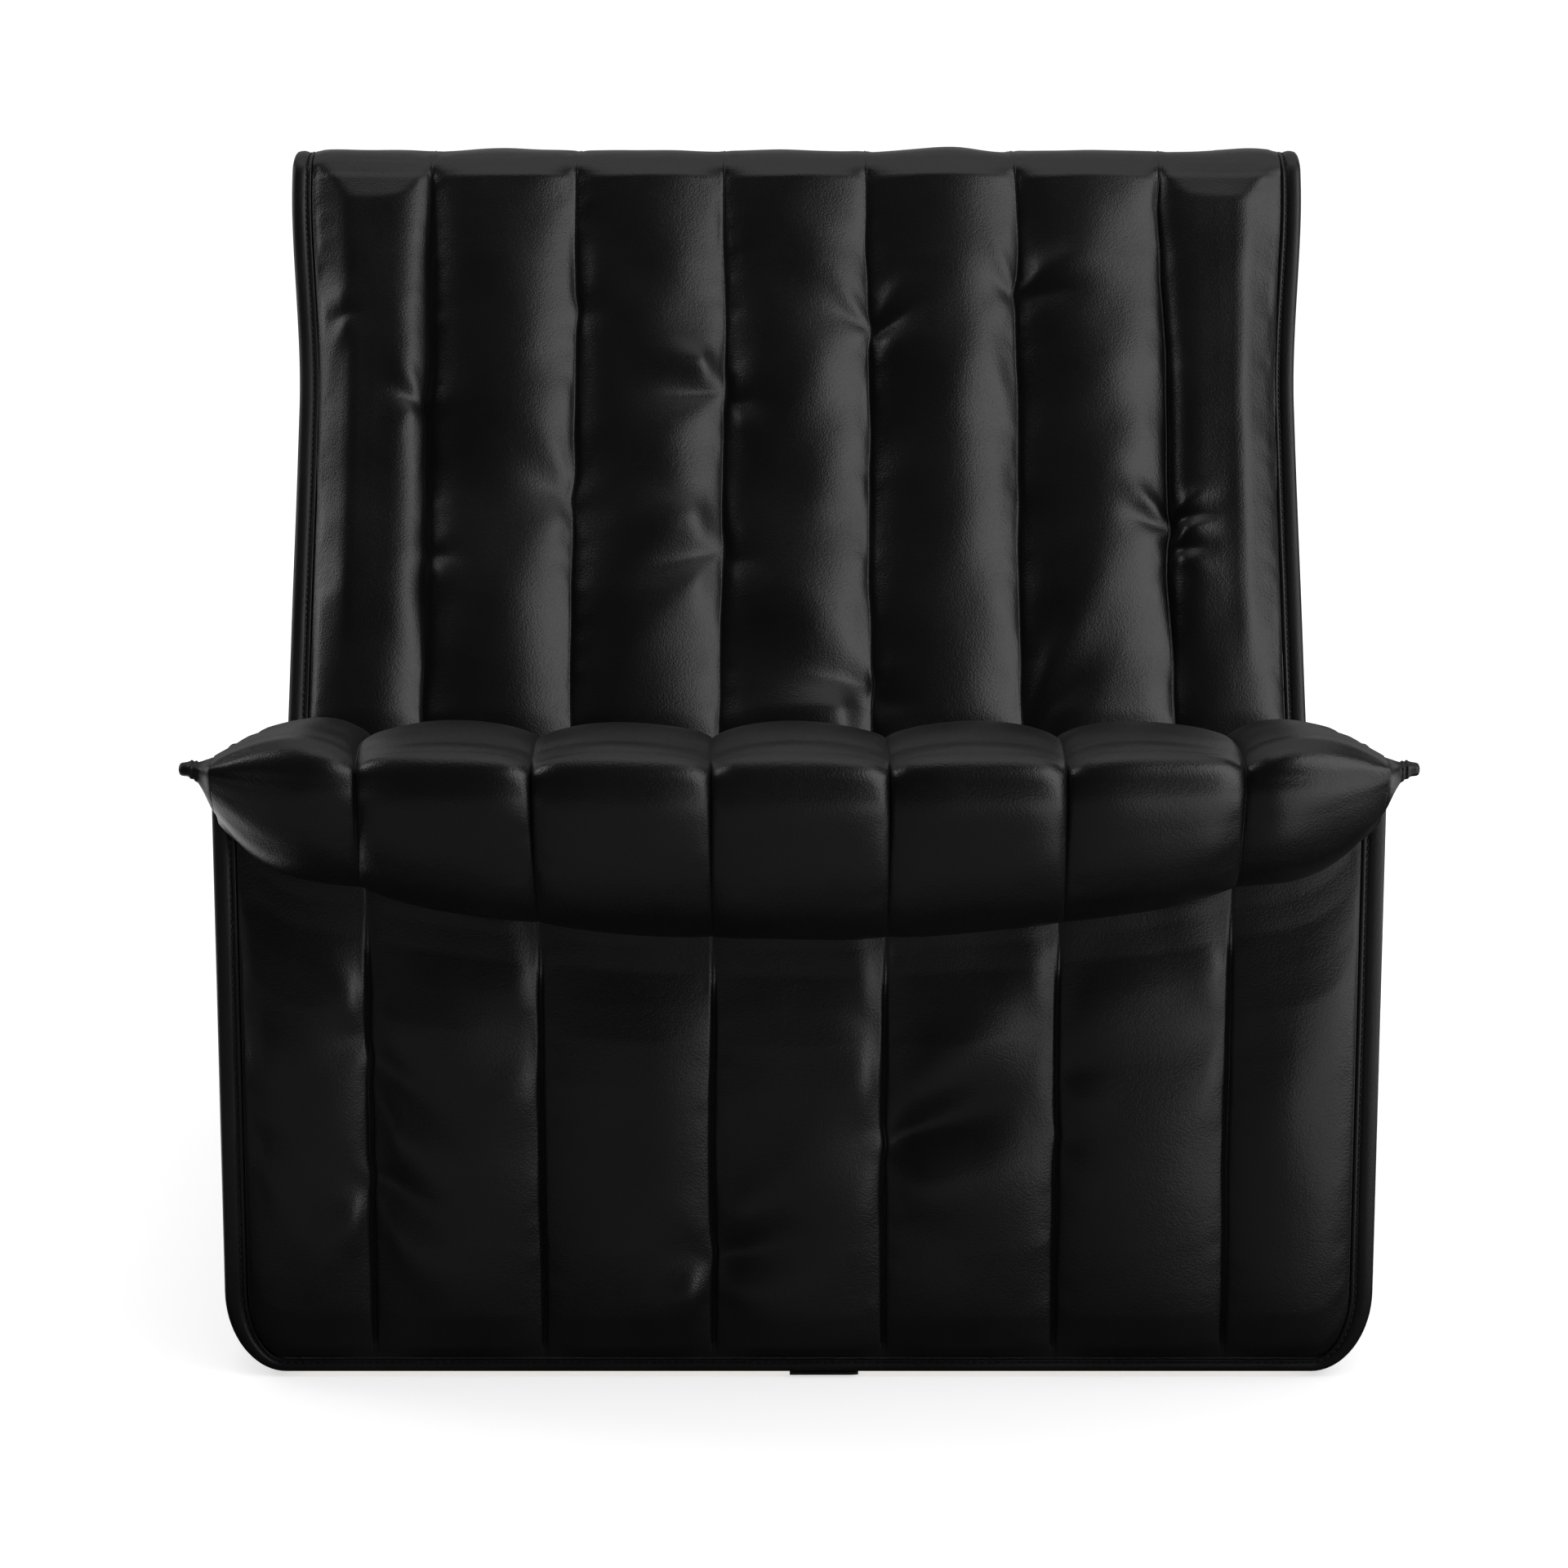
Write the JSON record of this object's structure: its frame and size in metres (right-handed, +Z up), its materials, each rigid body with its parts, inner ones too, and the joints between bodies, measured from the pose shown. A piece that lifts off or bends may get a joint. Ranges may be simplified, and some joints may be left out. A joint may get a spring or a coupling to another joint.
{
  "type": "lounge chair",
  "caption": "Low armless lounge chair with a channel-quilted leather blanket over its front, seat, raked back and rear, a stuffed front lip with pinched ears, and plain sides.",
  "frame": {"origin": "centre of the plan, on the floor under the chair", "axes": "+X to the right of someone who faces the chair, +Y from the lip to the rear, +Z up"},
  "size_m": [0.8, 0.91, 0.76],
  "materials": {
    "quilt_leather": "semi-gloss grained black",
    "band_leather": "satin grained black",
    "side_leather": "semi-gloss grained black",
    "fibre": "matt polyester wadding",
    "foam": "open-cell foam",
    "plywood": "raw",
    "timber": "raw planed",
    "webbing": "woven elastic",
    "lining": "matt non-woven",
    "plastic": "matt"
  },
  "bodies": {
    "root": {"seat_quilt": "quilt_leather", "back_quilt": "quilt_leather", "front_quilt": "quilt_leather", "rear_quilt": "quilt_leather", "lip_bolt": "fibre", "front_band_right": "band_leather", "front_band_left": "band_leather", "rear_band_right": "band_leather", "rear_band_left": "band_leather", "side_band_right": "band_leather", "side_band_left": "band_leather", "ear_tip_right": "band_leather", "ear_tip_left": "band_leather", "side_cover_right": "side_leather", "side_cover_left": "side_leather", "side_pad_right": "fibre", "side_pad_left": "fibre", "side_board_right": "plywood", "side_board_left": "plywood", "front_foam": "foam", "front_board": "plywood", "seat_foam": "foam", "back_foam": "foam", "rear_foam": "foam", "base_rail_right": "timber", "base_rail_left": "timber", "front_post_right": "timber", "front_post_left": "timber", "seat_rail_right": "timber", "seat_rail_left": "timber", "back_upright_right": "timber", "back_upright_left": "timber", "rear_post_right": "timber", "rear_post_left": "timber", "front_base_rail": "timber", "rear_base_rail": "timber", "seat_front_rail": "timber", "seat_rear_rail": "timber", "back_low_rail": "timber", "back_mid_rail": "timber", "back_top_rail": "timber", "front_corner_block_right": "timber", "front_corner_block_left": "timber", "rear_corner_block_right": "timber", "rear_corner_block_left": "timber", "seat_strap_1": "webbing", "seat_strap_2": "webbing", "seat_strap_3": "webbing", "seat_strap_4": "webbing", "seat_strap_5": "webbing", "back_strap_1": "webbing", "back_strap_2": "webbing", "back_strap_3": "webbing", "back_strap_4": "webbing", "dust_cover": "lining", "front_glide_right": "plastic", "front_glide_left": "plastic", "rear_glide_right": "plastic", "rear_glide_left": "plastic"}
  },
  "joints": []
}
